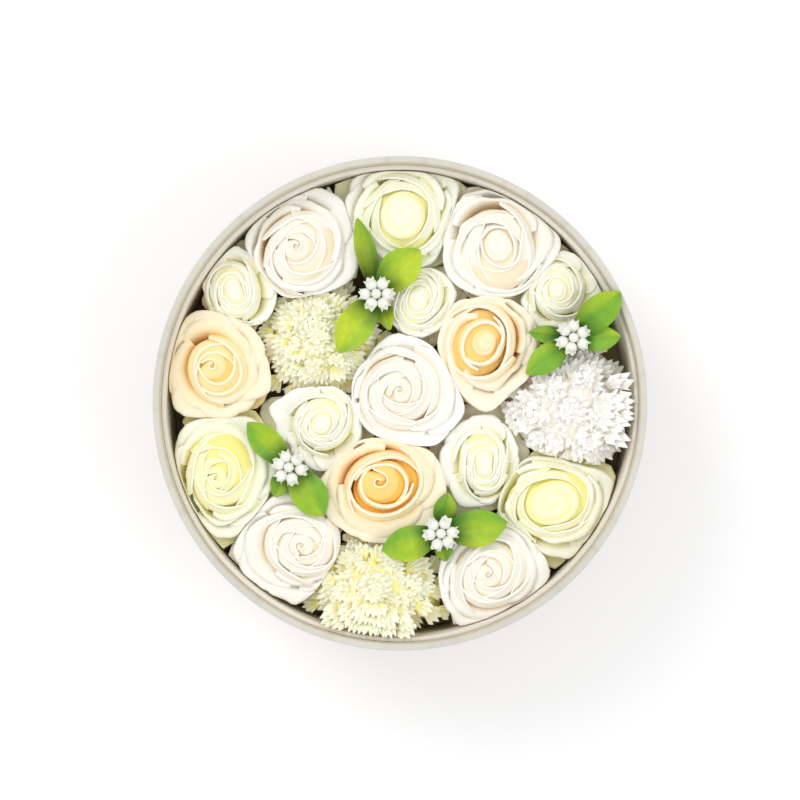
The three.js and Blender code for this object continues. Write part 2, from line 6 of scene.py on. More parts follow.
import bpy
import numpy as np
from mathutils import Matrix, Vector


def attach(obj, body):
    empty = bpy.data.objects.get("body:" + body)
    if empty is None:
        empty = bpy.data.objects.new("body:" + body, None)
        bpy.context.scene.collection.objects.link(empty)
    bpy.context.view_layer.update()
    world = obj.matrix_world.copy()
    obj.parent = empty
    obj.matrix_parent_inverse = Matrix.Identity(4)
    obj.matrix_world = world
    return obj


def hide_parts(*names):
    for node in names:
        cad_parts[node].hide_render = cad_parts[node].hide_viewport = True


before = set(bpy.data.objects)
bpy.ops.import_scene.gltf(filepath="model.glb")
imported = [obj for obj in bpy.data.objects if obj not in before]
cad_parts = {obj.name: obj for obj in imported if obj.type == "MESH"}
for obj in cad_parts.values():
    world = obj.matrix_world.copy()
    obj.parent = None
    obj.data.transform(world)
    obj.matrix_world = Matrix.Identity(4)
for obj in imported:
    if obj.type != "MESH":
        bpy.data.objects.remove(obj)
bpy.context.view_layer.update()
scene = bpy.context.scene

MM = 0.001
TURN = 2 * math.pi

# Box
BOX_RADIUS = 110
BOX_HEIGHT = 90
WALL = 3
LINING = 1.5
LINING_BELOW_RIM = 8
BASE = 3
FIT = 0.3
LINING_OUTSIDE = BOX_RADIUS - WALL - FIT
LINING_INSIDE = LINING_OUTSIDE - LINING
RING_SIDES = 480
CREASES = 38
CREASE_WIDTH = 0.012
FOLDED_OVER = 12
OUTSIDE_FROM = BOX_RADIUS - 1.9

# Room that a bloom has
BLOOM_FOOT = 48
LINING_TOP = BOX_HEIGHT - LINING_BELOW_RIM
OVER_LINING = [LINING_TOP + 0.7, LINING_TOP + 1.3]
WALL_LIMITS = [LINING_INSIDE - 0.7, BOX_RADIUS - WALL - 0.5]
SPREAD_SHARE = 0.8
CLEARANCE = 0.15
FREE_SHARE = 0.93
TILT_FROM = 66
TILT_PIVOT = 74
TILT = 0.5
STEM_ROOM = 2.6
CORNER_HEIGHTS = [66.0, 74.0]
CORNER_SIZES = [0.5, 3.6]
FACING = 0.05
NEIGHBOUR_RANGE = 80
OUTLINE_GROWTH = 1.01
OUTLINE_ROUNDING = range(-21, 22, 6)

# Sprigs
STEM_RADIUS = 1.3
STEM_FOOT = 30
STEM_TOP = 81.5
BERRY_FOOT = 83.2
BUD_LENGTH = 7
BALL_RADIUS = 2.2
BUDS_IN_RING = 6
SMALL_LEAF = 4.5

# First seed of the blooms, of the sprigs and of the paper's creases
BLOOM_SEED = 100
SPRIG_SEED = 500
CREASE_SEED = 900

# Roses: look, place, turn, rank over their neighbours, the radii of the rims of their inner rings,
# and the direction in degrees and reach of their outer petals. Some have a closed bud of a given
# radius, a tone of their own, limits to the gaps between rings, or a hollow between two radii.
ROSES = {
    "rose_white_1": dict(look="white", x=-46.7, y=70.6, turn=25, over=2, oval=(60, 0.04),
        rims=[6.2, 9.8, 14], slide=(-28, 5), outline={62: 28.5, 122: 22.5, 176: 21.5, 250: 25, 335: 27}),
    "rose_white_2": dict(look="white", x=44, y=73, turn=200, over=2, oval=(100, 0.12), rims=[7.2, 9, 14.6],
        egg=6.6, slide=(-90, 5), outline={5: 30, 40: 23.5, 95: 22.8, 150: 24.5, 232: 28, 285: 26.5}),
    "rose_white_3": dict(look="white", x=-0.4, y=5.9, turn=103, over=3, oval=(20, 0.03), rims=[5.6, 9.4, 14],
        slide=(-40, 1.5), outline={50: 25, 105: 24, 182: 20.5, 240: 25, 298: 29, 338: 31}),
    "rose_white_4": dict(look="white", x=-44.4, y=-63.9, turn=150, over=2, rims=[5.4, 9, 13], slide=(30, 1),
        oval=(-10, 0.1), outline={20: 16.5, 125: 24, 180: 31, 215: 28, 250: 25.5, 310: 20.5}),
    "rose_white_5": dict(look="white", x=39.6, y=-76.3, turn=348, over=2, rims=[6, 9.2, 12.6], slide=(0, 2),
        oval=(50, 0.1), outline={50: 26, 130: 19.5, 195: 22.5, 245: 26, 285: 23.5, 355: 27}),
    "rose_green_1": dict(look="green", x=1.3, y=85.9, turn=300, over=1, oval=(80, 0.05), rims=[11.2, 14.6],
        egg=10.4, slide=(-90, 2.5), tone="lime", outline={22: 29, 70: 21.5, 135: 27.5, 175: 25, 230: 25.5,
        290: 26, 345: 22.5}),
    "rose_green_2": dict(look="green", x=-82.7, y=-33.2, turn=80, over=2, rims=[4.8, 8.4, 13.4],
        slide=(37, 6), oval=(80, 0.12), outline={5: 26, 68: 30.5, 120: 25.5, 175: 17.5, 235: 18.5, 278: 27.5,
        320: 25}),
    "rose_green_3": dict(look="green", x=67.1, y=-45.2, turn=170, over=1, oval=(15, 0.12), rims=[11.8, 14.6],
        egg=11, slide=(20, 2), outline={15: 30, 60: 21, 110: 23, 178: 23, 235: 21.5, 288: 25, 335: 25}),
    "rose_peach_1": dict(look="peach", x=-84.4, y=17, turn=60, over=3, oval=(120, 0.08), rims=[6, 9.6],
        slide=(-35, 5), wells=[9, 3.2], outline={40: 24, 100: 24.5, 190: 21.5, 240: 24.8, 290: 23, 345: 26}),
    "rose_peach_2": dict(look="peach", x=39.6, y=27.2, turn=280, over=3, wells=[1.4, 9], egg=5.8,
        oval=(60, 0.06), rims=[7.8, 13.2], slide=(175, 5.5), tone="blush", well=(9.2, 12.2, 2.6),
        outline={5: 21.5, 50: 22.5, 110: 21, 205: 24, 262: 30, 320: 22}),
    "rose_peach_3": dict(look="peach", x=-9.3, y=-35, turn=10, over=3, slide=(-45, 5), wells=[1.4, 9],
        oval=(20, 0.07), rims=[8.6, 12.8], tone="gold", well=(9, 11.6, 4), outline={45: 24, 105: 20.5,
        180: 26.5, 228: 27, 272: 28.5, 322: 31, 358: 31}),
    "rose_small_1": dict(look="pale", x=-74.2, y=50.4, turn=120, over=0, oval=(110, 0.18),
        rims=[5.2, 6.8, 8.6, 10.4], slide=(180, 2), egg=4.9, outline={30: 20, 80: 19, 160: 14.5, 225: 13.5,
        285: 16, 335: 20}),
    "rose_small_2": dict(look="pale", x=8.4, y=47.4, turn=40, over=1, oval=(75, 0.14),
        rims=[5.4, 7, 8.6, 10], slide=(-90, 1), egg=5.1, outline={15: 17, 60: 15.5, 135: 12, 205: 14.5,
        262: 17.5, 320: 16.5}),
    "rose_small_3": dict(look="pale", x=70.8, y=50.4, turn=260, over=1, oval=(100, 0.05),
        rims=[5, 6.6, 8.4, 10.2], slide=(60, 2), egg=4.7, outline={32: 20.5, 82: 18.3, 140: 14.5, 190: 16,
        245: 16.8, 300: 16, 350: 20}),
    "rose_small_4": dict(look="pale", x=-35.1, y=-9.7, turn=330, over=1, oval=(60, 0.06),
        rims=[5, 6.8, 8.8, 10.8], slide=(120, 2), egg=4.7, outline={25: 17, 85: 19.5, 130: 18.5, 165: 26,
        192: 17.5, 222: 16.5, 252: 18.5, 285: 22.5, 330: 20}),
    "rose_small_5": dict(look="pale", x=38.2, y=-27.9, turn=90, over=0, oval=(92, 0.24),
        rims=[5.4, 7, 8.8, 10.6], slide=(140, 2), egg=5.1, outline={42: 18, 90: 23, 128: 21, 172: 21,
        250: 19.5, 300: 15.5, 355: 15}),
}
CARNATIONS = {
    "carnation_cream_1": dict(look="cream", x=-36.4, y=30.4, height=31, over=-1, outline={40: 24, 70: 26,
        110: 21, 148: 24, 187: 24.5, 233: 30, 262: 23, 290: 26, 320: 27, 355: 29}),
    "carnation_cream_2": dict(look="cream", x=-11.1, y=-83, height=33, over=-1, outline={9: 28, 45: 27,
        85: 20, 117: 25.5, 150: 26, 185: 34, 217: 29, 250: 24, 270: 23, 300: 26, 334: 35}),
    "carnation_white": dict(look="snow", x=76.4, y=-3, height=34, over=2, outline={11: 31, 34: 33, 56: 33,
        95: 24, 120: 23, 149: 25, 175: 31.5, 214: 28.5, 240: 26, 267: 24, 312: 32, 331: 30.5, 354: 30}),
}
# Sprigs: stem, and leaves as tip, half width and heights of root, crown and tip.
SPRIGS = [
    dict(x=-10.4, y=48.9, fresh=-0.15, leaves=[
        ([9, 68.9], 7.2, [78, 86, 83]), ([-27.6, 22.7], 6.8, [78, 86, 83]),
        ([-19.2, 82.7], 4.0, [70, 82, 86]), ([-4.6, 33], 3.2, [70, 79, 77])]),
    dict(x=77.3, y=29.5, fresh=0.4, leaves=[
        ([97.8, 49.4], 6.2, [77, 92, 93]), ([98.5, 29.6], 4.8, [78, 85, 87]),
        ([57.8, 31.8], 3.4, [78, 83, 82]), ([56.6, 13], 5.2, [78, 84, 81.5])]),
    dict(x=-49.3, y=-28.8, fresh=0.25, leaves=[
        ([-68.4, -8.6], 5.6, [78, 84, 82.5]), ([-34, -50.5], 6.8, [78, 85, 82.5]),
        ([-56.5, -42], 4.0, [72, 80, 79])]),
    dict(x=18.2, y=-58.1, fresh=0.2, leaves=[
        ([48, -53.6], 7.0, [78, 85, 83]), ([-8, -66], 6.6, [78, 86, 83]), ([21.6, -40.2], 4.4, [74, 81, 80]),
        ([20.6, -71], 3.6, [72, 80, 79.5])]),
]
BLOOMS = {**ROSES, **CARNATIONS}


def linear(*colour):
    """A colour in sRGB bytes as linear light."""
    shares = [c / 255 for c in colour]
    return np.array([c / 12.92 if c <= 0.04045 else ((c + 0.055) / 1.055) ** 2.4 for c in shares])


# Petal colours: rim, face of the outer petals, face of the inner ones, and deep in the heart.
# On the roses the pale rim is partly their own paler edge and partly painted highlight, and the deep
# colour is partly their own and partly painted shade in the hollows; on the carnations the deep colour
# is painted shade and the rim is painted highlight.
PETAL_COLOURS = {look: [linear(*colour) for colour in colours] for look, colours in {
    "white": [(254, 254, 250), (250, 248, 242), (250, 243, 225), (249, 231, 194)],
    "green": [(252, 252, 240), (249, 248, 230), (249, 246, 186), (246, 236, 126)],
    "lime": [(252, 252, 243), (249, 249, 237), (247, 246, 210), (243, 235, 140)],
    "peach": [(255, 246, 222), (252, 241, 213), (252, 231, 164), (252, 208, 98)],
    "blush": [(255, 248, 230), (252, 243, 222), (252, 232, 172), (252, 206, 98)],
    "gold": [(255, 247, 224), (252, 242, 216), (253, 216, 114), (250, 188, 62)],
    "pale": [(254, 254, 248), (251, 250, 240), (251, 249, 226), (249, 244, 182)],
    "cream": [(255, 254, 236), (255, 253, 222), (255, 251, 192), (255, 244, 136)],
    "snow": [(255, 254, 252), (255, 253, 250), (255, 251, 243), (255, 248, 231)],
}.items()}
# How each look's petals are made: thickness, and radius and angle of the curled rims of the outer
# petals, then of the petals of the closed heart.
PETAL_MAKE = {
    "white": (0.55, 1.35, 2.2, 0.74, 2.9),
    "green": (0.6, 1.35, 2.2, 0.7, 2.7),
    "peach": (0.9, 1.6, 2.4, 0.95, 3.0),
    "pale": (0.5, 0.8, 2.2, 0.6, 2.8),
}


# The closed heart of each look: height of its tip, how far it falls off over its span, radius and
# shoulder of its core, and the turns of its wound bud.
HEARTS = {
    "white": dict(tip=35, fall=5, span=18, core=10, shoulder=12, turns=1.3),
    "green": dict(tip=35.5, fall=5, span=18, core=10, shoulder=12, turns=1.2),
    "peach": dict(tip=35, fall=5, span=18, core=10, shoulder=12, turns=1.3),
    "pale": dict(tip=32.5, fall=4.5, span=12, core=7.2, shoulder=11, turns=1.2),
}
# Share of the way up a heart petal at which it turns over its shoulder.
SHOULDER = 0.5
# Shares of a petal's length that roll over: heart petals, outer petals and the bud.
WRAP_ROLL = 0.12
OUTER_ROLL = 0.16
BUD_ROLL = 0.14
# Shares of a petal that its rounded sides and its rounded lip take.
SIDE = 0.04
LIP = 0.05
# Radius at which a heart's rings are drawn aside by the full slide.
SLIDE_RADIUS = 16
CORE_SIDES = 40
EGG_SIDES = 72


def unit(value):
    """A value held between 0 and 1."""
    return np.clip(value, 0, 1)


def reach_of(outline, degrees):
    """Reach of an outline in some directions, a little rounded at its points."""
    table = sorted(outline.items())
    at = [table[-1][0] - 360] + [d for d, _ in table] + [table[0][0] + 360]
    far = [table[-1][1]] + [r for _, r in table] + [table[0][1]]
    degrees = np.asarray(degrees, float)
    around = [np.interp(np.mod(degrees + d, 360), at, far) for d in OUTLINE_ROUNDING]
    return OUTLINE_GROWTH * np.mean(around, axis=0)


def borders_of(bloom):
    """The planes that keep a bloom clear of its neighbours and the sprigs' stems."""
    borders = []
    for other in BLOOMS.values():
        dx, dy = other["x"] - bloom["x"], other["y"] - bloom["y"]
        apart = math.hypot(dx, dy)
        if other is bloom or apart > NEIGHBOUR_RANGE:
            continue
        direction = math.atan2(dy, dx)
        mine = reach_of(bloom["outline"], math.degrees(direction))
        theirs = reach_of(other["outline"], math.degrees(direction) + 180)
        tilt = TILT * np.sign(bloom["over"] - other["over"])
        borders.append((direction, (apart + mine - theirs) / 2 - CLEARANCE, tilt))
    for sprig in SPRIGS:
        dx, dy = sprig["x"] - bloom["x"], sprig["y"] - bloom["y"]
        apart = math.hypot(dx, dy)
        if apart < NEIGHBOUR_RANGE:
            borders.append((math.atan2(dy, dx), apart - STEM_ROOM, 0))
    return borders


def wall_room(bloom, angle, height=0):
    """How far it is from a bloom's middle to the lining, or above the lining to the wall."""
    limit = np.interp(BLOOM_FOOT + height, OVER_LINING, WALL_LIMITS)
    towards = bloom["x"] * np.cos(angle) + bloom["y"] * np.sin(angle)
    centre = bloom["x"] ** 2 + bloom["y"] ** 2
    return np.sqrt(towards ** 2 - centre + limit ** 2) - towards


def spread_of(bloom, angle):
    """Reach of a carnation, less where its petals would meet the lining."""
    return np.minimum(reach_of(bloom["outline"], np.degrees(angle)), SPREAD_SHARE * wall_room(bloom, angle))


def placed(bloom, radius, angle, height):
    """Points of a bloom, pressed back softly where there is no room."""
    z = BLOOM_FOOT + height
    room = wall_room(bloom, angle, height)
    corner = np.interp(z, CORNER_HEIGHTS, CORNER_SIZES)
    crowd = np.exp(-room / corner)
    for direction, distance, tilt in bloom["borders"]:
        facing = np.cos(angle - direction)
        shifted = distance + tilt * (np.maximum(z, TILT_FROM) - TILT_PIVOT)
        crowd = crowd + np.where(facing > FACING, np.exp(-shifted / np.maximum(facing, FACING) / corner), 0)
    room = -corner * np.log(crowd)
    free = FREE_SHARE * room
    spare = room - free
    pressed = room - spare * np.exp(np.minimum((free - radius) / spare, 0))
    r = np.where(radius < free, radius, pressed)
    return np.stack([bloom["x"] + r * np.cos(angle), bloom["y"] + r * np.sin(angle), z], axis=-1)


def linked(name, data):
    """A new object in the scene."""
    thing = bpy.data.objects.new(name, data)
    scene.collection.objects.link(thing)
    return thing


class Form:
    """Collects closed sheets and other parts of one piece, with a tint for each point."""

    def __init__(self):
        self.points, self.faces, self.tints, self.uvs = [], [], [], []
        self.count = 0

    def add(self, points, faces, tints, uvs):
        points = np.asarray(points, float)
        corners = points[np.array([tuple(f) + (f[-1],) * (4 - len(f)) for f in faces])]
        a, b, c, d = corners.transpose(1, 0, 2)
        volume = (a * np.cross(b, c)).sum() + (a * np.cross(c, d)).sum()
        if volume < 0:
            faces = [f[::-1] for f in faces]
        self.points.append(points)
        self.faces.extend([tuple(int(i) + self.count for i in f) for f in faces])
        self.tints.append(tints)
        self.uvs.append(uvs)
        self.count += len(points)

    def finish(self, name, material, slot, *replaced):
        mesh = bpy.data.meshes.new(name)
        mesh.from_pydata((np.concatenate(self.points) * MM).tolist(), [], self.faces, shade_flat=False)
        tint = mesh.color_attributes.new("tint", "FLOAT_COLOR", "POINT")
        rgb = np.concatenate(self.tints)
        tint.data.foreach_set("color", np.column_stack([rgb, np.ones(len(rgb))]).ravel().astype(np.float32))
        layer = mesh.uv_layers.new(name="along")
        uvs = np.concatenate(self.uvs)[np.concatenate(self.faces)]
        layer.data.foreach_set("uv", uvs.ravel().astype(np.float32))
        mesh.materials.append(material)
        mesh.update()
        piece = linked(name, mesh)
        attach(piece, "root")
        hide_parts(*replaced)


def edged(count, rim):
    """Values from 0 to 1 that crowd at the end."""
    return np.concatenate([np.linspace(0, 1 - rim, count), 1 - rim * np.array([0.5, 0.18, 0])])


def two_edged(count, rim):
    """Values from -1 to 1 that crowd at both ends."""
    inner = np.linspace(-1 + rim, 1 - rim, count)
    ends = 1 - rim * np.array([0.5, 0.18, 0])
    return np.concatenate([-ends[::-1], inner, ends])


def rounding(distance, rim):
    """Share of full thickness at a distance from an edge."""
    return np.sqrt(1 - (1 - unit(distance / rim)) ** 2)


def add_sheet(form, points, us, vs, thickness, tint, rim_u, rim_v):
    """A closed sheet round a grid of points, with rounded sides and lip."""
    rows, columns = points.shape[:2]
    du = np.gradient(points, us, axis=1)
    dv = np.gradient(points, vs, axis=0)
    normal = np.cross(du, dv)
    normal /= np.maximum(np.linalg.norm(normal, axis=-1, keepdims=True), 1e-9)
    sides = rounding(1 - np.abs(us), rim_u)[None, :]
    lip = rounding(1 - vs, rim_v)[:, None]
    half = (thickness / 2 * sides * lip)[..., None]
    outer = points + normal * half
    inner = points - normal * half
    index = np.arange(rows * columns).reshape(rows, columns)
    free = np.zeros((rows, columns), bool)
    free[:-1, 1:-1] = True
    other = index.copy()
    other[free] = rows * columns + np.arange(free.sum())
    faces = []
    for j in range(rows - 1):
        for i in range(columns - 1):
            faces.append((index[j, i], index[j, i + 1], index[j + 1, i + 1], index[j + 1, i]))
            faces.append((other[j, i], other[j + 1, i], other[j + 1, i + 1], other[j, i + 1]))
    for i in range(columns - 1):
        loop = [index[0, i], other[0, i], other[0, i + 1], index[0, i + 1]]
        faces.append(tuple(p for k, p in enumerate(loop) if p != loop[k - 1]))
    all_points = np.concatenate([outer.reshape(-1, 3), inner[free]])
    uv = np.stack(np.meshgrid(us * 0.5 + 0.5, vs), axis=-1)
    uvs = np.concatenate([uv.reshape(-1, 2), uv[free]])
    tints = np.concatenate([tint.reshape(-1, 3), tint[free]])
    form.add(all_points, faces, tints, uvs)


def add_rings(form, rows, tints, heights, around=1):
    """A closed body from rings of points, where a ring of one point is a pole."""
    rings, count = [], 0
    for row in rows:
        rings.append(range(count, count + len(row)))
        count += len(row)
    sides = max(len(ring) for ring in rings)
    faces = []
    for low, high in zip(rings, rings[1:]):
        for i in range(sides):
            j = (i + 1) % sides
            if len(low) == 1:
                faces.append((low[0], high[j], high[i]))
            elif len(high) == 1:
                faces.append((low[i], low[j], high[0]))
            else:
                faces.append((low[i], low[j], high[j], high[i]))
    colours = [tint for tint, row in zip(tints, rows) for _ in row]
    uvs = [(around * i / sides, height) for height, row in zip(heights, rows) for i in range(len(row))]
    form.add(np.concatenate(rows), faces, colours, uvs)


def add_turned(form, centre, profile, sides, tint):
    """A closed turned form from a profile that starts and ends on the axis."""
    rows = []
    for radius, z in profile:
        angles = np.arange(sides if radius > 0 else 1) * TURN / sides
        rows.append(np.stack([centre[0] + radius * np.cos(angles), centre[1] + radius * np.sin(angles),
                              z + 0 * angles], axis=-1))
    add_rings(form, rows, [tint] * len(rows), np.arange(len(rows)) / len(rows))


def bezier(a, b, c, d, t):
    """A cubic curve from a to d, drawn towards b and then c."""
    s = 1 - t
    return s ** 3 * a + 3 * s * s * t * b + 3 * s * t * t * c + t ** 3 * d


def mix(a, b, share):
    """A blend of two colours."""
    share = np.asarray(share)[..., None]
    return a * (1 - share) + b * share


def lip_rows(hidden, seen, rolled):
    """Shares of the way up a petal, crowded into the part that is seen and its rolled rim."""
    low = np.linspace(0, 0.48, hidden)
    flat = np.linspace(0.48, 1 - rolled, seen + 1)[1:]
    return np.concatenate([low, flat, 1 - rolled + rolled * edged(5, 0.22)[1:]])


def dome(heart, radius):
    """Height of the closed heart of a rose at a radius."""
    return heart["tip"] - heart["fall"] * (radius / heart["span"]) ** 2


def rolled_over(curve, straight, rolled, roll, roll_angle):
    """A curve with its last stretch rolled outwards, and its direction."""
    (r1, z1), (r0, z0) = curve(straight + 0.005), curve(straight - 0.005)
    length = np.maximum(np.hypot(r1 - r0, z1 - z0), 1e-9)
    tr, tz = (r1 - r0) / length, (z1 - z0) / length
    phi = rolled * roll_angle
    r = (r0 + r1) / 2 + roll * (np.sin(phi) * tr + (1 - np.cos(phi)) * tz)
    z = (z0 + z1) / 2 + roll * (np.sin(phi) * tz - (1 - np.cos(phi)) * tr)
    return r, z, tr, tz


def up_and_over(v, share, corner):
    """How far up a petal its points lie, and how far round its roll."""
    return np.minimum(v / (1 - share), 1) * corner, unit((v - 1 + share) / share)


def tones_of(bloom):
    """The petal colours of a bloom."""
    return PETAL_COLOURS[bloom.get("tone", bloom["look"])]


def petal_tint(rose, out, straight, rolled, dark):
    """Tint of a rose's petal: deep at its foot, partly painted shade, and pale on its rolled rim, partly
    painted highlight.
    """
    rim, outer_face, inner_face, deep = tones_of(rose)
    face = inner_face * (1 - out) + outer_face * out
    tint = mix(face, deep, unit((dark - straight) / 0.35))
    return mix(tint, rim, unit(rolled * 1.4) * 0.9)


def stretched(rose, degrees):
    """How far the heart of a rose is drawn out in some directions."""
    towards, share = rose.get("oval", (0, 0))
    return 1 + share * np.cos(2 * np.radians(degrees - towards))


def slid(rose, degrees, radius):
    """A radius with the rings drawn to one side, more so the wider they are."""
    towards, slide = rose["slide"]
    return radius + slide * np.cos(np.radians(degrees - towards)) * radius / SLIDE_RADIUS


def capped(heart, rim, gap, root, foot, lift, under):
    """A petal's curve: up from its root to a shoulder just under the next rim, then over the dome."""
    shoulder = rim + gap
    top = dome(heart, shoulder) - under

    def curve(t):
        low, high = unit(t / SHOULDER), (t - SHOULDER) / (1 - SHOULDER)
        r = shoulder + (rim - shoulder) * high
        z = dome(heart, r) + lift - (under + lift) * unit(1 - high) ** 1.6
        climbing = t < SHOULDER
        return (np.where(climbing, bezier(root, shoulder + 1.6, shoulder + 1.3, shoulder, low), r),
                np.where(climbing, bezier(foot, 14, top - 1.8, top, low), z))

    return curve


def add_wrap(form, rose, at, half, rim, gap, swing, flat, wave, phase, root, cut, square, step, under,
             out):
    """A petal of the closed heart: its face slopes down and out, under the next rim."""
    thickness, _, _, roll, roll_angle = PETAL_MAKE[rose["look"]]
    us = two_edged(19, SIDE)
    vs = lip_rows(4, 6, WRAP_ROLL)
    u, v = np.meshgrid(us, vs)
    degrees = at + half * u
    straight, rolled = up_and_over(v, WRAP_ROLL, 1 - cut * np.abs(u) ** square)
    chord = 1 / np.cos(np.radians(0.62 * min(half, 80) * u)) - 1
    edge = slid(rose, degrees, (rim + swing * u) * stretched(rose, degrees) * (1 + flat * chord))
    edge = edge + wave * (np.sin(4.1 * u + phase) + 0.3 * np.sin(13 * u + 2 * phase))
    edge = np.minimum(edge, 0.8 * reach_of(rose["outline"], degrees))
    curve = capped(HEARTS[rose["look"]], edge + roll, gap, root, 9.5, -roll, under)
    r, z, tr, tz = rolled_over(curve, straight, rolled, roll, roll_angle * (1 - 0.4 * np.abs(u) ** 4))
    aside = step * u * np.minimum(straight / 0.3, 1)
    points = placed(rose, r + aside * tz, np.radians(degrees), z - aside * tr)
    add_sheet(form, points, us, vs, thickness, petal_tint(rose, out, straight, rolled, 0.62), SIDE, LIP)


def add_outer(form, rose, at, half, root, hug, lip, crest, top, cut, step, swing, wave, phase, point, bend,
              out, across=19, along=6):
    """An outer petal: it hugs the heart, then flares out to a rolled rim."""
    thickness, roll, roll_angle, _, _ = PETAL_MAKE[rose["look"]]
    us = two_edged(across, SIDE)
    vs = lip_rows(4, along, OUTER_ROLL)
    u, v = np.meshgrid(us, vs)
    degrees = at + half * u
    straight, rolled = up_and_over(v, OUTER_ROLL, 1 - cut * np.abs(u) ** 2.6)
    edge = (lip + swing * u) * reach_of(rose["outline"], degrees) - roll
    hug = np.minimum(hug * stretched(rose, degrees), edge - 2)
    edge = edge + wave * (np.sin(4.6 * u + phase) + 0.45 * np.sin(9.7 * u + 2.3 * phase)
                          + 0.2 * np.sin(21 * u + 3.1 * phase))
    edge = edge + point * np.exp(-((u - bend) / 0.2) ** 2)
    top = top + wave * (np.sin(5.3 * u + 1.7 * phase) + 0.4 * np.sin(11 * u + phase))

    def curve(t):
        return bezier(root, hug + 1.2, hug, edge, t), bezier(7.5, 12, crest, top, t)

    r, z, tr, tz = rolled_over(curve, straight, rolled, roll, roll_angle)
    aside = step * u * np.minimum(straight / 0.3, 1)
    points = placed(rose, r + aside * tz, np.radians(degrees), z - aside * tr)
    add_sheet(form, points, us, vs, thickness, petal_tint(rose, out, straight, rolled, 0.55), SIDE, LIP)


def add_core(form, rose):
    """The body inside a rose, a little below the faces of its petals."""
    _, _, inner_face, deep = tones_of(rose)
    heart = HEARTS[rose["look"]]
    last, core = rose["rims"][-1], heart["core"]
    start, end, depth = rose.get("well", (0, 0, 0))
    profile = [(0, 0), (3.8, 0), (core * 0.8, 2.8), (core, 6), (core, heart["shoulder"])]
    profile += [(last + 1, dome(heart, last + 1) - 5.5), (last + 0.4, dome(heart, last) - 3.2)]
    for radius in [*np.linspace(last - 1, 3.2, 8), 2.2, 1.6, 1, 0.5, 0]:
        sunk = np.interp(radius, [0, 1, 2.2, 3.2, 4.2], [-0.5, -0.2, 0.25, 0.8, 1.5])
        sunk = min(sunk, 0.9 if rose["look"] == "pale" else 1.5)
        sunk += depth * np.interp(radius, [start, start + 0.8, end, end + 1], [0, 1, 1, 0])
        profile.append((radius, dome(heart, radius) - sunk))
    rows = []
    for radius, height in profile:
        angles = np.arange(CORE_SIDES if radius > 0 else 1) * TURN / CORE_SIDES
        degrees = np.degrees(angles)
        r = slid(rose, degrees, radius * stretched(rose, degrees))
        rows.append(placed(rose, r, angles, height + 0 * angles))
    add_rings(form, rows, [mix(deep, inner_face, 0.3)] * len(rows), np.arange(len(rows)) / len(rows))


def add_egg(form, rose):
    """A closed bud with the faint edge of a petal wound over it."""
    rim, _, inner_face, deep = tones_of(rose)
    tip, egg = HEARTS[rose["look"]]["tip"], rose["egg"]
    angles = np.arange(EGG_SIDES) * TURN / EGG_SIDES
    over = np.linspace(1, 0.06, 26)
    shares = np.concatenate([[0.5, 0.8, 0.96], over, [0]])
    heights = np.concatenate([[-11, -8, -4.5], -1.9 * over ** 2.6, [0]])
    grid_r, grid_a = np.meshgrid(shares * egg, angles, indexing="ij")
    pitch = max(egg / 2.2, 2.4)
    wound = np.mod(grid_a / TURN + grid_r / pitch + rose["turn"] / 360, 1)
    edge = unit(wound / 0.2) * unit((1 - wound) / 0.8)
    fade = unit(grid_r / 1.2 - 0.4) * unit((egg - grid_r) / 0.8)
    z = tip + heights[:, None] + 0.4 + 0.42 * edge * fade
    degrees = np.degrees(angles)
    r = slid(rose, degrees, grid_r * stretched(rose, degrees))
    points = placed(rose, r, grid_a, z)
    index = np.arange((len(shares) - 1) * EGG_SIDES).reshape(-1, EGG_SIDES)
    after = np.roll(index, -1, axis=1)
    faces = [*zip(index[:-1].ravel(), after[:-1].ravel(), after[1:].ravel(), index[1:].ravel())]
    faces += [(i, j, index.size) for i, j in zip(index[-1], after[-1])]
    faces += [(j, i, index.size + 1) for i, j in zip(index[0], after[0])]
    low = placed(rose, 0.0, 0.0, tip - 11.5)
    everything = np.concatenate([points[:-1].reshape(-1, 3), points[-1, :1], low[None]])
    # Painted shade towards the bud's edge; the wound petal edge is spared and paler, partly painted
    # highlight.
    painted_shade = unit(0.8 * (grid_r[:-1] / egg) ** 2 - 0.1) * unit(1 - 0.5 * edge[:-1])
    face = mix(inner_face, rim, 0.2)
    tints = mix(mix(face, deep, painted_shade), rim, 0.6 * (edge * fade)[:-1] ** 3).reshape(-1, 3)
    form.add(everything, faces, np.concatenate([tints, [face, deep]]), everything[:, :2] / 20)


def add_bud(form, rose):
    """The rolled centre: one strip wound round itself."""
    thickness, _, _, roll, roll_angle = PETAL_MAKE[rose["look"]]
    heart = HEARTS[rose["look"]]
    us = two_edged(48, 0.02)
    vs = lip_rows(4, 7, BUD_ROLL)
    u, v = np.meshgrid(us, vs)
    share = (u + 1) / 2
    degrees = rose["turn"] + share * heart["turns"] * 360
    first, last = 0.7, 0.56 * rose["rims"][0]
    pitch = (last - first) / heart["turns"]
    rim = (first + (last - first) * share ** 0.9) * stretched(rose, degrees)
    straight, rolled = up_and_over(v, BUD_ROLL, 1 - 0.2 * unit((share - 0.88) / 0.12) ** 2)
    lift = 0.7 - 0.7 * share
    outermost = unit((share - 1 + 1 / heart["turns"]) / 0.12)
    beyond = pitch * 0.95 + (rose["rims"][0] + 0.5 - rim - pitch * 0.95) * outermost
    curve = capped(heart, rim, beyond, 0.6 + share, 18, lift, 1.2)
    r, z, _, _ = rolled_over(curve, straight, rolled, roll * (0.5 + 0.4 * share), roll_angle)
    points = placed(rose, r, np.radians(degrees), z)
    tint = petal_tint(rose, 0.1, straight, rolled, 0.5)
    add_sheet(form, points, us, vs, thickness * 0.75, tint, 0.02, LIP)


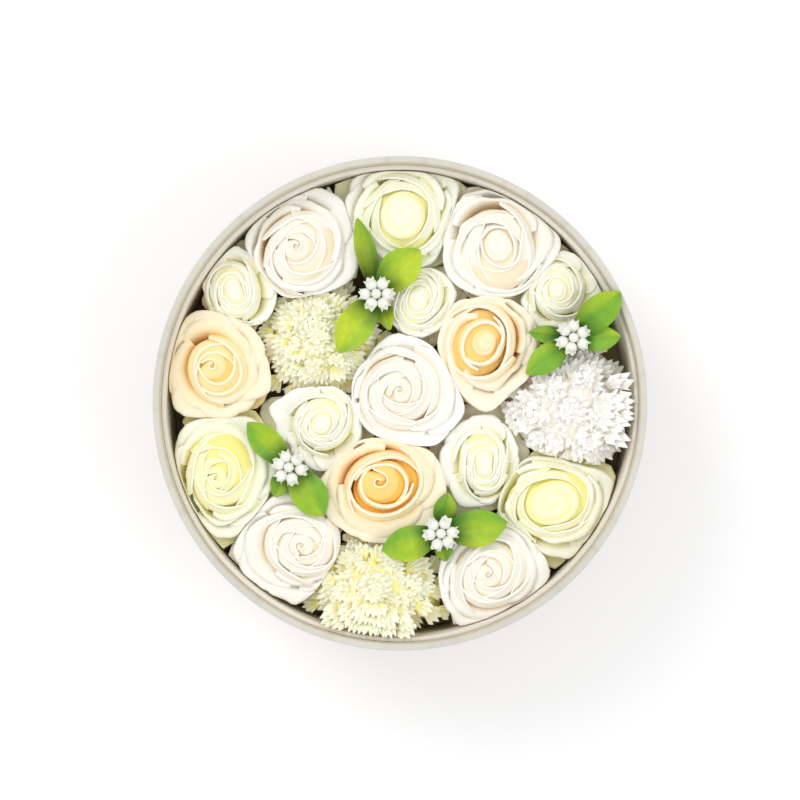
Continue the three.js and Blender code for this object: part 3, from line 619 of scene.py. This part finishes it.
def build_rose(rose, rng):
    """A rose: core, bud, rings of the heart, middle petals, a low skirt and the outline."""
    look, rims = rose["look"], rose["rims"]
    draw = rng.uniform
    tip, core = HEARTS[look]["tip"], HEARTS[look]["core"]
    small, soft = look == "pale", look == "peach"
    form = Form()
    add_core(form, rose)
    if "egg" in rose:
        add_egg(form, rose)
    else:
        add_bud(form, rose)
    count = 2 if soft else 3
    for ring, rim in enumerate(rims):
        gap = rims[ring + 1] - rim if ring + 1 < len(rims) else (1.6 if small else 2.6)
        gap = min(gap, rose.get("wells", [9] * 4)[ring])
        for k in range(count):
            add_wrap(
                form, rose, at=rose["turn"] + 40 + ring * 67 + k * 360 / count + draw(-12, 12),
                half=118 if soft else 80, rim=rim, gap=gap, swing=(0.07 if soft else 0.12) * rim,
                flat=draw(0.08, 0.2) if soft else draw(0.1, 0.4), wave=0.02 * rim,
                phase=draw(0, TURN), root=min(0.5 * rim, 0.6 * core),
                cut=draw(0.4, 0.5) if soft else draw(0.22, 0.36), square=draw(2.2, 3.2),
                step=0.42, under=1.0 if small else (1.4 if gap > 2.3 else 2.2),
                out=0.05 + (0.95 if soft else 0.7) * (rim / 16) ** (2 if look in ("peach", "green") else 1))
    rank = rose["over"] - 1.5
    last = rims[-1]
    for k in range(0 if small else 3):
        add_outer(
            form, rose, at=rose["turn"] + 20 + k * 120 + draw(-14, 14), half=72, root=6.6,
            hug=last + 1.2, lip=draw(0.76, 0.9), crest=tip - 3.4, top=tip - draw(4.4, 6),
            cut=0.26, step=1.0, swing=0.09, wave=0.65, phase=draw(0, TURN), point=draw(0, 1.0),
            bend=draw(-0.4, 0.4), out=0.8)
    from_middle = math.hypot(rose["x"], rose["y"]) / 85
    outward = math.degrees(math.atan2(rose["y"], rose["x"]))
    for k in range(5):
        at = rose["turn"] + k * 72 + draw(-8, 8)
        at_wall = from_middle * max(math.cos(math.radians(at - outward)), 0)
        add_outer(
            form, rose, at=at, half=46, root=4.6, hug=last + 2, lip=1.45 - 0.4 * at_wall, crest=tip - 15,
            top=tip - 15 + rank, cut=0.15, step=0.8, swing=0.0, wave=0.8, phase=draw(0, TURN), point=0,
            bend=0, out=0.0, across=11, along=3)
    root, hug, lip, crest, top, step, wave = (
        (4.6, last + 1.2, 1.04, tip - 4.6, tip - 5.6, 0.8, 0.4) if small
        else (6.6, last + 3.6, 1.05, tip - 7, tip - 8.2, 1.0, 0.7))
    ways = list(rose["outline"])
    for before, at, after in zip([ways[-1] - 360] + ways, ways, ways[1:] + [ways[0] + 360]):
        low, high = (before + at) / 2 - 14, (at + after) / 2 + 14
        add_outer(
            form, rose, at=(low + high) / 2, half=(high - low) / 2, root=root, hug=hug, lip=lip,
            crest=crest + 0.8 * rank, top=top + 1.3 * rank, cut=0.24, step=step, swing=0.02, wave=wave,
            phase=draw(0, TURN), point=draw(0.2, 1.6), bend=draw(-0.4, 0.4), out=1.0)
    return form


# How a carnation's petals are made: half width, height of the pleats, number and depth of the teeth.
FAN_MAKE = {
    "cream": dict(wide=4.6, pleat=0.5, teeth=3.6, notch=0.24),
    "snow": dict(wide=4.5, pleat=0.36, teeth=2.6, notch=0.3),
}
# A tuft's rings of petals: distance of their tips from its middle, their number and how far they hang.
TUFT_RINGS = [(10.0, 7, 2.4), (7.0, 6, 1.4), (4.0, 4, 0.6), (1.6, 3, 0.0)]
TUFTS = 6
# Drooping petals round the edge: share of the outline's reach, height, and their number.
EDGE_RINGS = [(1.22, 0.57, 18), (1.04, 0.68, 16), (0.9, 0.8, 13)]
# Petals that lean on the lining: height over its top, distance back from the wall, number all round.
WALL_RINGS = [(2.3, 0.0, 27), (2.1, 4.5, 23), (1.5, 8.5, 17)]
BODY_SIDES = 36


def add_fan(form, bloom, tip, way, long, top, steep, draw):
    """A pleated, toothed petal that ends at a tip and points some way."""
    make = FAN_MAKE[bloom["look"]]
    rim, _, inner_face, deep = tones_of(bloom)
    us = two_edged(16, 0.05)
    vs = np.array([0, 0.35, 0.65, 0.92, 0.97, 1])
    u, v = np.meshgrid(us, vs)
    limit = 0.97 * wall_room(bloom, math.atan2(tip[1], tip[0]), top)
    tip = tip * min(1, limit / max(np.linalg.norm(tip), 0.1))
    wide = make["wide"] * draw(0.8, 1.15)
    tooth = u * make["teeth"] / 2 + draw(0, 1)
    notch = np.abs(np.mod(tooth, 1) * 2 - 1)
    share = v * (1 - make["notch"] * notch * v - 0.2 * u ** 2)
    pleat = -make["pleat"] * draw(0.8, 1.3) * (0.3 + 0.7 * v) * np.cos(TURN * tooth)
    across = wide * (0.3 + 0.7 * v) * u
    along = bezier(-long, -0.8 * long, -0.4 * long, 0.0, share) - 0.05 * across ** 2
    rise = bezier(top - steep, top - 0.4 * steep, top + 0.3, top, share)
    rise = rise + pleat + draw(-0.16, 0.16) * across
    x = tip[0] + way[0] * along - way[1] * across
    y = tip[1] + way[1] * along + way[0] * across
    points = placed(bloom, np.hypot(x, y), np.arctan2(y, x), rise)
    # Painted shade: deeper yellow towards the petal's foot and in the valleys of its pleats; painted
    # highlight towards its tip.
    low = unit(0.9 - 1.3 * v - 0.35 * pleat / make["pleat"])
    tint = mix(mix(inner_face, deep, low), rim, unit(v * 2.2 - 0.9))
    add_sheet(form, points, us, vs, 0.42, tint, 0.06, 0.08)


def turns(draw, number, stray, first=0):
    """Directions all round, each a little astray."""
    for k in range(number):
        yield first + (k + draw(-stray, stray)) * TURN / number


def pointing(turn):
    """A direction seen from above."""
    return np.array([math.cos(turn), math.sin(turn)])


def build_carnation(bloom, rng):
    """A dome of tufts, each a cluster of petals that fan out from its middle."""
    outline, height = bloom["outline"], bloom["height"]
    draw = rng.uniform
    form = Form()
    _, _, inner_face, deep = tones_of(bloom)
    body = [(0, 0), (0.12, 0), (0.25, 6), (0.7, height * 0.3), (0.96, height * 0.38), (0.95, height * 0.46),
            (0.84, height * 0.62), (0.68, height * 0.78), (0.45, height * 0.86), (0.25, height * 0.9),
            (0, height * 0.92)]
    rows = []
    for share, z in body:
        angles = np.arange(BODY_SIDES if share > 0 else 1) * TURN / BODY_SIDES
        rows.append(placed(bloom, share * spread_of(bloom, angles), angles, z + 0 * angles))
    add_rings(form, rows, [mix(deep, inner_face, 0.6)] * len(rows), [0] * len(rows), around=0)
    for far, high, number in EDGE_RINGS:
        for turn in turns(draw, number, 0.25):
            way = pointing(turn)
            tip = way * spread_of(bloom, turn) * far * draw(0.97, 1.03)
            add_fan(form, bloom, tip, way, 9, height * high * draw(0.96, 1.04), -3.4, draw)
    for above, back, number in WALL_RINGS:
        for turn in turns(draw, number, 0.35):
            top = LINING_TOP + above - BLOOM_FOOT + draw(-0.3, 0.3)
            reach = reach_of(outline, math.degrees(turn))
            room = wall_room(bloom, turn, top)
            if room < 1.1 * reach:
                way = pointing(turn)
                tip = way * (min(room, reach + 1) - back - draw(0, 0.9))
                add_fan(form, bloom, tip, way, 9.5, top, 7.0, draw)
    tufts = [(np.zeros(2), height + 1.6)]
    for turn in turns(draw, TUFTS, 0.15, draw(0, TURN)):
        away = draw(0.58, 0.68) * spread_of(bloom, turn)
        tufts.append((away * pointing(turn), height * draw(0.93, 1.0)))
    for middle, crown in tufts:
        leaning = 0.7 / 16 * middle
        for distance, number, hang in TUFT_RINGS:
            for turn in turns(draw, number, 0.25, draw(0, TURN)):
                far = distance * draw(0.85, 1.15)
                tip = middle + far * pointing(turn)
                reach = reach_of(outline, math.degrees(math.atan2(tip[1], tip[0])))
                way = pointing(turn) + leaning + rng.normal(0, 0.15, 2)
                way /= max(np.linalg.norm(way), 0.1)
                past = max(np.linalg.norm(tip) / reach - 0.7, 0)
                top = crown - hang - 6.5 * past / 0.35 + draw(-0.7, 0.7)
                long = min(far + 2.0, 8.5)
                add_fan(form, bloom, tip, way, long, top, 8.0 - 0.45 * long, draw)
    return form


def build_leaves(sprig, rng):
    """A stem and its leaves, with folded midribs and darker near the stem."""
    form = Form()
    add_turned(form, (sprig["x"], sprig["y"]), [
        (0, STEM_FOOT), (STEM_RADIUS * 0.8, STEM_FOOT), (STEM_RADIUS, STEM_FOOT + 3),
        (STEM_RADIUS, STEM_TOP - 1), (STEM_RADIUS * 0.7, STEM_TOP), (0, STEM_TOP)], 16, linear(70, 110, 45))
    bright, fresh, dark = linear(194, 214, 40), linear(122, 178, 46), linear(24, 76, 34)
    us = two_edged(19, 0.05)
    vs = np.concatenate([np.linspace(0, 0.96, 26), [0.975, 0.99, 1.0]])
    u, v = np.meshgrid(us, vs)
    share = np.clip(v, 0, 0.985) ** 1.15
    for (tx, ty), wide, (low, crown, high) in sprig["leaves"]:
        run = np.array([tx - sprig["x"], ty - sprig["y"]])
        side = np.array([-run[1], run[0]]) / np.linalg.norm(run)
        broad = 1.2 * wide * (0.06 + 0.94 * np.sin(math.pi * share) ** (0.58 + 0.3 * v ** 2))
        broad = broad * (1 - 0.9 * unit((v - 0.95) / 0.05) ** 2)
        z = (1 - v) ** 2 * low + 2 * v * (1 - v) * crown + v * v * high
        z = z + 0.12 * broad * np.abs(u) ** 1.2 - 0.35 * np.exp(-(u / 0.07) ** 2) * np.sin(math.pi * v) ** 0.5
        z = z + 0.25 * np.sin(9 * v + 2 * u + rng.uniform(0, TURN)) * np.abs(u) ** 2
        across = broad * u + 0.7 * np.sin(math.pi * v) * rng.uniform(-1, 1)
        x = sprig["x"] + run[0] * v + side[0] * across
        y = sprig["y"] + run[1] * v + side[1] * across
        blotch = np.sin(5 * v + 2.2 * u + rng.uniform(0, TURN))
        blotch = 0.5 + 0.5 * blotch * np.sin(3 * v - 2.6 * u + rng.uniform(0, TURN))
        one_side = unit(0.5 - 0.9 * u * rng.choice([-1, 1])) * 0.45 + 0.5 * blotch
        tint = mix(bright, fresh, unit(one_side + sprig["fresh"]))
        near = 1.2 - v / 0.42
        if wide < SMALL_LEAF:
            near = 1.6 - v / 0.42
            tint = mix(tint, dark, 0.2)
        tint = mix(tint, dark, unit(near) ** 0.8 * (0.65 + 0.35 * blotch))
        add_sheet(form, np.stack([x, y, z], axis=-1), us, vs, 0.8, tint, 0.05, 0.03)
    return form


# A toothed bud as radius and height: up its outside, over its mouth and down to its floor.
BUD = [(0, 0), (0.6, 0.2), (1.2, 0.9), (1.95, 1.7), (2.5, 2.6), (2.65, 3.5), (2.45, 4.3), (2.25, 5.0),
       (2.35, 5.7), (2.05, 5.6), (1.9, 5.0), (1.6, 4.3), (1.0, 3.9), (0, 3.8)]
BUD_SIDES = 40
TEETH = 5


def build_berries(sprig, turn, rng):
    """One round bud, and a ring of toothed ones that lean out round it."""
    form = Form()
    # White of the buds, and the painted shade for their feet and the floors of their mouths.
    white, painted_shade = linear(240, 241, 232), linear(214, 220, 196)
    top = STEM_TOP + FIT
    add_turned(form, (sprig["x"], sprig["y"]), [
        (0, top), (STEM_RADIUS * 0.9, top), (STEM_RADIUS, top + 1), (STEM_RADIUS * 1.3, BERRY_FOOT + 1),
        (0, BERRY_FOOT + 1.8)], 14, linear(140, 170, 80))
    centre = (sprig["x"] + rng.uniform(-0.3, 0.3), sprig["y"] + rng.uniform(-0.3, 0.3))
    ball = [(BALL_RADIUS * math.sin(a), BERRY_FOOT + 4.2 - 1.06 * BALL_RADIUS * math.cos(a))
            for a in np.linspace(0, math.pi, 12)]
    ball[0], ball[-1] = (0, ball[0][1]), (0, ball[-1][1])
    add_turned(form, centre, ball, 24, white)
    # Painted shade: each bud darker towards its foot and on the floor of its mouth.
    tints = [white] + [mix(painted_shade, white, min(z / 2.2, 1)) for _, z in BUD[1:-1]] + [painted_shade]
    for k in range(BUDS_IN_RING):
        angle = turn + (k + rng.uniform(-0.08, 0.08)) * TURN / BUDS_IN_RING
        lean = (1.34 if k % 2 else 1.14) + rng.uniform(-0.06, 0.06)
        spin = rng.uniform(0, 1)
        rows = []
        for r, z in BUD:
            a = np.arange(BUD_SIDES if r > 0 else 1) * TURN / BUD_SIDES
            raised = min(max((z - 4.3) / 1.4, 0), 1)
            teeth = 1 - np.abs(2 * np.mod(TEETH * a / TURN + spin, 1) - 1) ** 0.8
            wide = r * (1 + 0.12 * raised * teeth)
            high = z + 1.3 * raised * (teeth - 0.35)
            x = wide * np.cos(a) * math.cos(lean) + high * math.sin(lean) + 1.7
            y = wide * np.sin(a)
            rows.append(np.stack([
                sprig["x"] + x * math.cos(angle) - y * math.sin(angle),
                sprig["y"] + x * math.sin(angle) + y * math.cos(angle),
                BERRY_FOOT + 1.4 + high * math.cos(lean) - wide * np.cos(a) * math.sin(lean)], axis=-1))
        add_rings(form, rows, tints, [z / BUD_LENGTH for _, z in BUD])
    return form


# Materials
GRAIN_SCALE = 2600
GRAIN_DEPTH = 0.00012
VEIN_STRETCH = (34, 2.2, 1)
VEIN_DEPTH = 0.0006
FIBRE_SCALE = 900
FIBRE_DEPTH = 0.0003
CLOUD_SCALE = 22
PETAL_SPECULAR = 0.35


def new_material(name):
    """A material with its node tree and its shader."""
    material = bpy.data.materials.new(name)
    material.use_nodes = True
    return material, material.node_tree, material.node_tree.nodes["Principled BSDF"]


def feed(tree, node, **inputs):
    """Sets a node's inputs or links them, with underscores for spaces."""
    for key, value in inputs.items():
        socket = node.inputs[key.replace("_", " ")]
        if isinstance(value, bpy.types.NodeSocket):
            tree.links.new(value, socket)
        else:
            socket.default_value = value


def made(tree, kind, output, **inputs):
    """The output of a new node."""
    node = tree.nodes.new("ShaderNode" + kind)
    feed(tree, node, **inputs)
    return node.outputs[output]


def noise(tree, vector, scale, detail=3.0, rough=0.55):
    return made(tree, "TexNoise", "Fac", Vector=vector, Scale=scale, Detail=detail, Roughness=rough)


def ranged(tree, value, low, high):
    return made(tree, "MapRange", "Result", Value=value, To_Min=low, To_Max=high)


def tint_of_points(tree):
    tint = made(tree, "VertexColor", "Color")
    tint.node.layer_name = "tint"
    return tint


def blended(tree, kind, **inputs):
    """The blend of two colours by a factor."""
    node = tree.nodes.new("ShaderNodeMix")
    node.data_type = "RGBA"
    node.blend_type = kind
    feed(tree, node, **inputs)
    return node.outputs["Result"]


def petal_material(name, roughness, streaks, grain, cloudy=(90, 0.96, 1.02)):
    """Soft plastic in the tint of its points, with clouds, veins along it and a fine grain."""
    material, tree, shader = new_material(name)
    place = made(tree, "TexCoord", "Object")
    along = made(tree, "UVMap", "UV")
    along.node.uv_map = "along"
    value = ranged(tree, noise(tree, place, cloudy[0]), cloudy[1], cloudy[2])
    fine = noise(tree, place, GRAIN_SCALE, 2.0)
    vein = noise(tree, made(tree, "Mapping", "Vector", Vector=along, Scale=VEIN_STRETCH), 1.0, 2.0)
    veins = made(tree, "Bump", "Normal", Height=vein, Strength=streaks, Distance=VEIN_DEPTH)
    feed(tree, shader,
         Base_Color=made(tree, "HueSaturation", "Color", Color=tint_of_points(tree), Value=value),
         Roughness=ranged(tree, fine, roughness - 0.07, roughness + 0.07),
         Specular_IOR_Level=PETAL_SPECULAR,
         Normal=made(tree, "Bump", "Normal", Height=fine, Strength=grain, Distance=GRAIN_DEPTH, Normal=veins))
    return material


def board_material(name, colour, other, roughness, bumps, tinted=False):
    """Paper, foam or plastic: two clouded colours with fibres, in its points' tint if tinted."""
    material, tree, shader = new_material(name)
    place = made(tree, "TexCoord", "Object")
    fibre = noise(tree, place, FIBRE_SCALE, 5.0, 0.65)
    cloud = ranged(tree, noise(tree, place, CLOUD_SCALE), 0.0, 1.0)
    result = blended(tree, "MIX", Factor=cloud, A=(*linear(*colour), 1), B=(*linear(*other), 1))
    if tinted:
        result = blended(tree, "MULTIPLY", Factor=1, A=result, B=tint_of_points(tree))
    value = ranged(tree, fibre, 0.93, 1.06)
    feed(tree, shader,
         Base_Color=made(tree, "HueSaturation", "Color", Color=result, Value=value),
         Roughness=ranged(tree, fibre, roughness - 0.08, roughness + 0.08),
         Normal=made(tree, "Bump", "Normal", Height=fibre, Strength=bumps, Distance=FIBRE_DEPTH))
    return material


# Moulded materials: slot, name, roughness, depth of the veins and of the grain, and sometimes clouds.
MOULDED = {
    "white": ("white_petals", "petals_white", 0.52, 0.25, 0.35),
    "green": ("green_white_petals", "petals_green_white", 0.52, 0.25, 0.35),
    "peach": ("peach_petals", "petals_peach", 0.55, 0.2, 0.35),
    "pale": ("pale_petals", "petals_pale", 0.52, 0.25, 0.35),
    "cream": ("cream_petals", "petals_cream", 0.55, 0.5, 0.3),
    "snow": ("snow_petals", "petals_snow", 0.55, 0.5, 0.3),
    "leaf": ("leaves", "leaf_plastic", 0.38, 0.35, 0.25, (260, 0.74, 1.16)),
    "berry": ("berries", "berry_plastic", 0.35, 0.1, 0.15),
}
FINISH = {look: (petal_material(*values), slot) for look, (slot, *values) in MOULDED.items()}
paper = board_material("paper_wrap", (255, 255, 255), (244, 243, 240), 0.72, 0.35, tinted=True)
base_paper = board_material("paper_base", (216, 214, 200), (204, 202, 188), 0.72, 0.35)
lining_paper = board_material("lining_paper", (244, 238, 228), (236, 230, 218), 0.8, 0.35)
foam_stuff = board_material("foam_block_stuff", (168, 150, 112), (134, 118, 84), 0.95, 1.0)
green_plain = board_material("calyx_plastic", (110, 150, 62), (78, 120, 50), 0.5, 0.2)


def dress(node, material):
    """Gives one of the frame's own solids a material."""
    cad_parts[node].data.materials.clear()
    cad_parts[node].data.materials.append(material)


for bloom in BLOOMS.values():
    bloom["borders"] = borders_of(bloom)

for number, (name, bloom) in enumerate(BLOOMS.items()):
    rng = np.random.default_rng(BLOOM_SEED + number)
    flower = build_rose(bloom, rng) if name in ROSES else build_carnation(bloom, rng)
    flower.finish(f"{name}_bloom", *FINISH[bloom["look"]], name)
    dress(f"{name}_calyx", green_plain)

for number, sprig in enumerate(SPRIGS):
    rng = np.random.default_rng(SPRIG_SEED + number)
    node = f"sprig_{number + 1}"
    build_leaves(sprig, rng).finish(f"{node}_foliage", *FINISH["leaf"], f"{node}_leaves")
    build_berries(sprig, number * 0.4, rng).finish(f"{node}_buds", *FINISH["berry"], f"{node}_berries")


def add_ring(form, profile, wobble, tint_of):
    """A closed ring from a profile, slightly uneven in height."""
    profile = np.asarray(profile, float)
    count = len(profile)
    angles = np.arange(RING_SIDES) * TURN / RING_SIDES
    lift = wobble * (np.sin(3 * angles + 0.7) + 0.6 * np.sin(7 * angles + 2.1) + 0.4 * np.sin(17 * angles))
    points, faces, tints, uvs = [], [], [], []
    high = profile[:, 1].max()
    for i, a in enumerate(angles):
        j = (i + 1) % RING_SIDES
        for k, (r, z) in enumerate(profile):
            m = (k + 1) % count
            faces.append((i * count + k, j * count + k, j * count + m, i * count + m))
            near_top = unit(1 - (high - z) / 4)
            points.append((r * math.cos(a), r * math.sin(a), z + lift[i] * near_top))
            tints.append(tint_of(r, z, a))
            uvs.append((i / RING_SIDES, k / count))
    form.add(points, faces, tints, uvs)


def rounded_ring(inside, outside, low, high, radius):
    """Profile of a ring with rounded corners at the top."""
    steps = [(math.cos(a), math.sin(a)) for a in np.linspace(0, math.pi / 2, 4)]
    up = [low + (high - low) * share for share in (0.25, 0.5, 0.75, 0.95)]
    profile = [(inside, low), (outside, low)] + [(outside, z) for z in up]
    profile += [(outside - radius + radius * c, high - radius + radius * s) for c, s in steps]
    profile += [(inside + (outside - inside) * share, high) for share in (0.5, 0.4)]
    profile += [(inside + radius - radius * s, high - radius + radius * c) for c, s in steps]
    return profile + [(inside, z) for z in up[::-1]]


OUTER_PAPER = linear(214, 212, 202)
TURNED_IN_PAPER = linear(214, 208, 192)
crease_rng = np.random.default_rng(CREASE_SEED)
crease_at = np.sort((np.arange(CREASES) + crease_rng.uniform(-0.3, 0.3, CREASES)) * TURN / CREASES)
# Painted shade along each crease, and painted light and shade that differ from facet to facet.
painted_crease_depth = crease_rng.uniform(0.02, 0.11, CREASES)
painted_facet_light = crease_rng.uniform(0.97, 1.02, CREASES + 1)


def wrap_colour(r, z, a):
    """The paper over the rim: folded in at each crease, with painted shade along the creases and painted
    light and shade that differ between them.
    """
    paper_colour = OUTER_PAPER if r > OUTSIDE_FROM else TURNED_IN_PAPER
    over_rim = unit(1 - (BOX_HEIGHT - z) / FOLDED_OVER)
    away = np.abs(np.angle(np.exp(1j * (a - crease_at))))
    painted_crease_shade = (painted_crease_depth * np.exp(-(away / CREASE_WIDTH) ** 2)).sum()
    facet = painted_facet_light[int(np.searchsorted(crease_at, a))]
    return paper_colour * (1 + over_rim * (facet - 1 - painted_crease_shade))


wall = Form()
add_ring(wall, rounded_ring(BOX_RADIUS - WALL, BOX_RADIUS, 0, BOX_HEIGHT, 0.5), -0.02, wrap_colour)
wall.finish("box_wall_wrapped", paper, "wrapped_board", "box_wall")
lining = Form()
add_ring(lining, rounded_ring(LINING_INSIDE, LINING_OUTSIDE + 0.25, BASE, LINING_TOP, 0.35), -0.1,
         lambda r, z, a: np.ones(3))
lining.finish("box_lining_sleeve", lining_paper, "lining_board", "box_lining")
dress("box_base", base_paper)
dress("foam_block", foam_stuff)

# Floor, light and camera
floor_mesh = bpy.data.meshes.new("floor")
FAR = 3
floor_mesh.from_pydata([(-FAR, -FAR, 0), (FAR, -FAR, 0), (FAR, FAR, 0), (-FAR, FAR, 0)], [], [(0, 1, 2, 3)])
floor = linked("floor", floor_mesh)
pale, pale_tree, pale_shader = new_material("floor_pale")
feed(pale_tree, pale_shader, Base_Color=(0.97, 0.965, 0.97, 1), Roughness=0.9)
floor_mesh.materials.append(pale)

world = bpy.data.worlds.new("studio")
scene.world = world
world.use_nodes = True
feed(world.node_tree, world.node_tree.nodes["Background"], Color=(1, 1, 1, 1), Strength=0.86)


def area_light(name, place, size, power, target=(0, 0, 0.08)):
    """A round soft light that faces a target."""
    data = bpy.data.lights.new(name, "AREA")
    data.shape = "DISK"
    data.size = size
    data.energy = power
    light = linked(name, data)
    light.location = place
    direction = np.array(target) - np.array(place)
    light.rotation_euler = Vector(direction).to_track_quat("-Z", "Y").to_euler()


area_light("key_light", (-0.9, 0.9, 1.5), size=0.9, power=9)
area_light("fill_light", (1.1, -0.5, 1.6), size=1.2, power=6)

# The camera looks straight down: width of the view at the rim, distance to it and offset of its middle.
PHOTO_WIDTH = 355.56 * MM
RIM_DISTANCE = 0.9
CENTRE_SHIFT = 1.47 * MM
SENSOR_WIDTH = 36
camera_data = bpy.data.cameras.new("camera")
camera_data.sensor_width = SENSOR_WIDTH
camera_data.lens = SENSOR_WIDTH * RIM_DISTANCE / PHOTO_WIDTH
camera_data.clip_end = 20
camera = linked("camera", camera_data)
camera.location = (0, CENTRE_SHIFT, BOX_HEIGHT * MM + RIM_DISTANCE)
scene.camera = camera
scene.view_settings.view_transform = "Standard"
scene.cycles.diffuse_bounces = 12
scene.cycles.max_bounces = 16
